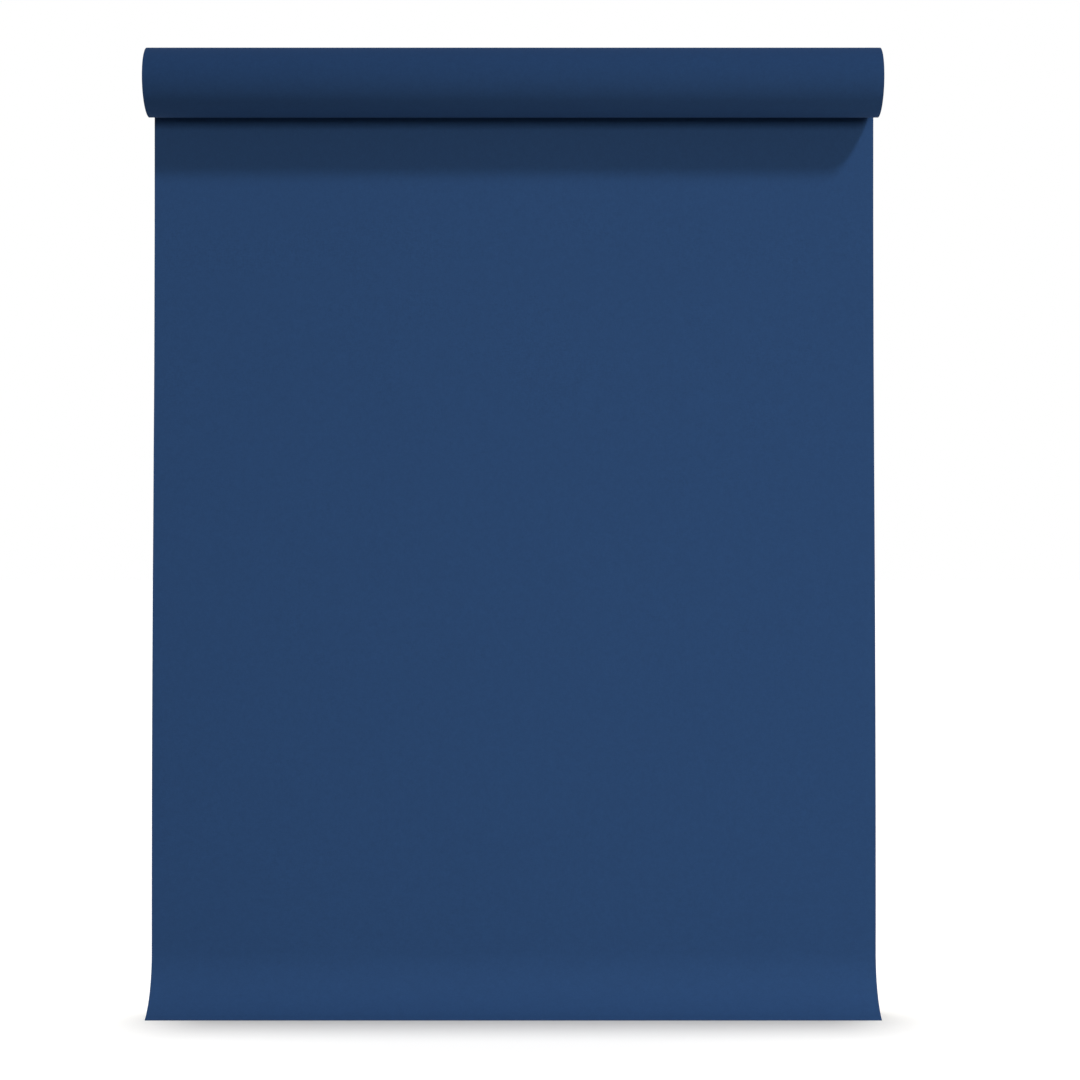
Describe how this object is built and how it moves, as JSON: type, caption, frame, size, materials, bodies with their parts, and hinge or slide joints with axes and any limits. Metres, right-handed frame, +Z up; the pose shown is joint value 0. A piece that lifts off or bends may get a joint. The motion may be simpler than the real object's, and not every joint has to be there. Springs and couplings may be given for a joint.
{
  "type": "backdrop paper roll",
  "caption": "Seamless backdrop paper on a paperboard core, with the sheet let down behind the roll and its curled free edge near the floor.",
  "frame": {"origin": "on the axis of the core's bore, at the middle of the roll's width", "axes": "+X along the roll's axis to the right as seen from the set, -Y to the set in front of the sheet, +Z up, opposite to the hanging sheet"},
  "size_m": [0.66, 0.062, 0.8742],
  "materials": {
    "blue_paper": "matte uncoated",
    "kraft_ply": "smooth kraft",
    "core_board": "laminated board",
    "paper_tape": "satin",
    "blank_label": "matte",
    "black_plastic": "moulded matte"
  },
  "bodies": {
    "web": {"outer_turn": "blue_paper", "hanging_sheet": "blue_paper"},
    "roll": {"core_liner": "kraft_ply", "core_body": "core_board", "core_face": "kraft_ply", "start_tape_1": "paper_tape", "start_tape_2": "paper_tape", "start_tape_3": "paper_tape", "core_label": "blank_label", "wound_paper": "blue_paper"},
    "lead": {"lead_edge": "blue_paper"},
    "plug_left": {"core_plug_left": "black_plastic"},
    "plug_right": {"core_plug_right": "black_plastic"}
  },
  "joints": [
    {"name": "roll_spin", "type": "hinge", "parent": "web", "child": "roll", "pos_m": [0, 0, 0], "axis": [1, 0, 0], "range_deg": [0, 1260]},
    {"name": "sheet_lift", "type": "slide", "parent": "web", "child": "lead", "axis": [0, 0, 1], "range_m": [0, 0.68], "deforming": ["hanging_sheet"]},
    {"name": "plug_left_pull", "type": "slide", "parent": "roll", "child": "plug_left", "axis": [-1, 0, 0], "range_m": [0, 0.045]},
    {"name": "plug_right_pull", "type": "slide", "parent": "roll", "child": "plug_right", "axis": [1, 0, 0], "range_m": [0, 0.045]}
  ],
  "couplings": [
    {"joint": "sheet_lift", "follows": "roll_spin", "m_per_rad": 0.03091}
  ]
}
